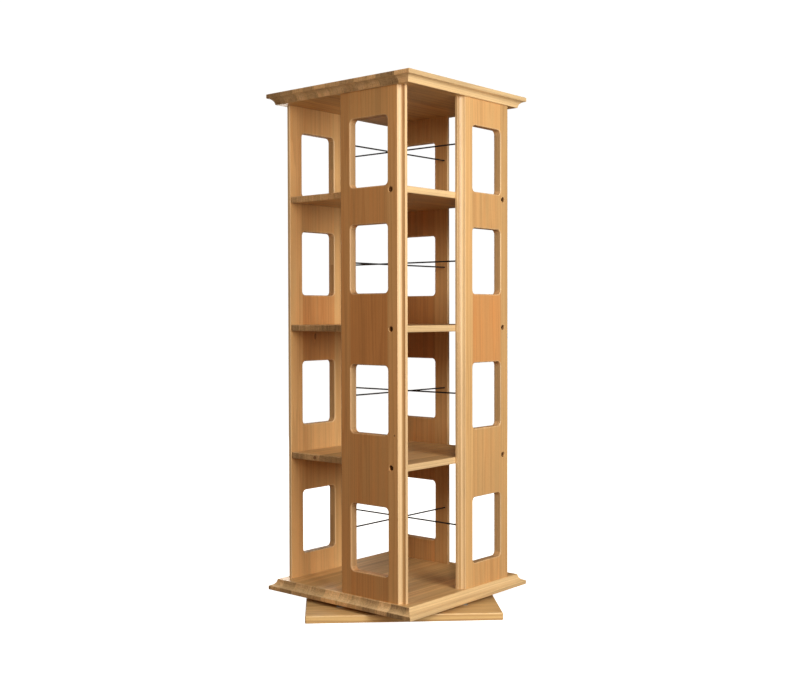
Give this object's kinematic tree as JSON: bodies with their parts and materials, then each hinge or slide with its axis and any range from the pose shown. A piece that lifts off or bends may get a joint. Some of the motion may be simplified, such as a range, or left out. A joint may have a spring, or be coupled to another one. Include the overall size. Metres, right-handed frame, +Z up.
{
  "type": "rotating display rack",
  "caption": "Tall solid-wood rotating rack with open tiers of shelving between windowed side panels, on a square base plate with a ball bearing.",
  "frame": {"origin": "on the spin axis at floor level, under the middle of the base plate", "axes": "+Z up along the spin axis; -Y out of the side that the front panel stands on, +X out of the right panel's side"},
  "size_m": [0.6222, 0.6222, 1.2],
  "materials": {
    "board_wood": "satin clear lacquer over edge-glued staves",
    "panel_wood": "satin clear lacquer, upright grain",
    "shelf_wood": "satin clear lacquer",
    "base_wood": "satin clear lacquer",
    "dowel_wood": "raw fluted beech",
    "plug_wood": "satin clear lacquer over turned caps",
    "black_rod": "satin black",
    "black_bolt": "black oxide",
    "zinc_steel": "zinc plated",
    "ball_steel": "polished",
    "nut_steel": "nickel plated",
    "insert_zinc": "yellow-passivated zinc alloy",
    "cage_brass": "stamped strip"
  },
  "bodies": {
    "base": {"base_plate": "base_wood", "bearing_lower_plate": "zinc_steel", "base_screws": "zinc_steel"},
    "ball_ring": {"bearing_cage": "cage_brass", "bearing_balls": "ball_steel"},
    "rack": {"bearing_upper_plate": "zinc_steel", "turntable_screws": "zinc_steel", "bottom_board": "board_wood", "top_board": "board_wood", "panel_front": "panel_wood", "panel_right": "panel_wood", "panel_back": "panel_wood", "panel_left": "panel_wood", "shelf_lower": "shelf_wood", "shelf_middle": "shelf_wood", "shelf_upper": "shelf_wood", "rod_side_1": "black_rod", "rod_side_2": "black_rod", "rod_side_3": "black_rod", "rod_side_4": "black_rod", "rod_cross_1": "black_rod", "rod_cross_2": "black_rod", "rod_cross_3": "black_rod", "rod_cross_4": "black_rod", "shelf_bolts": "black_bolt", "shelf_nuts": "nut_steel", "shelf_dowels": "dowel_wood", "bottom_bolts": "black_bolt", "bottom_inserts": "insert_zinc", "bottom_dowels": "dowel_wood", "top_bolts": "black_bolt", "top_inserts": "insert_zinc", "top_dowels": "dowel_wood", "top_plugs": "plug_wood"}
  },
  "joints": [
    {"name": "rack_spin", "type": "hinge", "parent": "base", "child": "rack", "pos_m": [0, 0, 0.021], "axis": [0, 0, 1], "continuous": true},
    {"name": "ball_ring_spin", "type": "hinge", "parent": "base", "child": "ball_ring", "pos_m": [0, 0, 0.021], "axis": [0, 0, 1], "continuous": true}
  ],
  "couplings": [
    {"joint": "ball_ring_spin", "follows": "rack_spin", "ratio": 0.5}
  ]
}
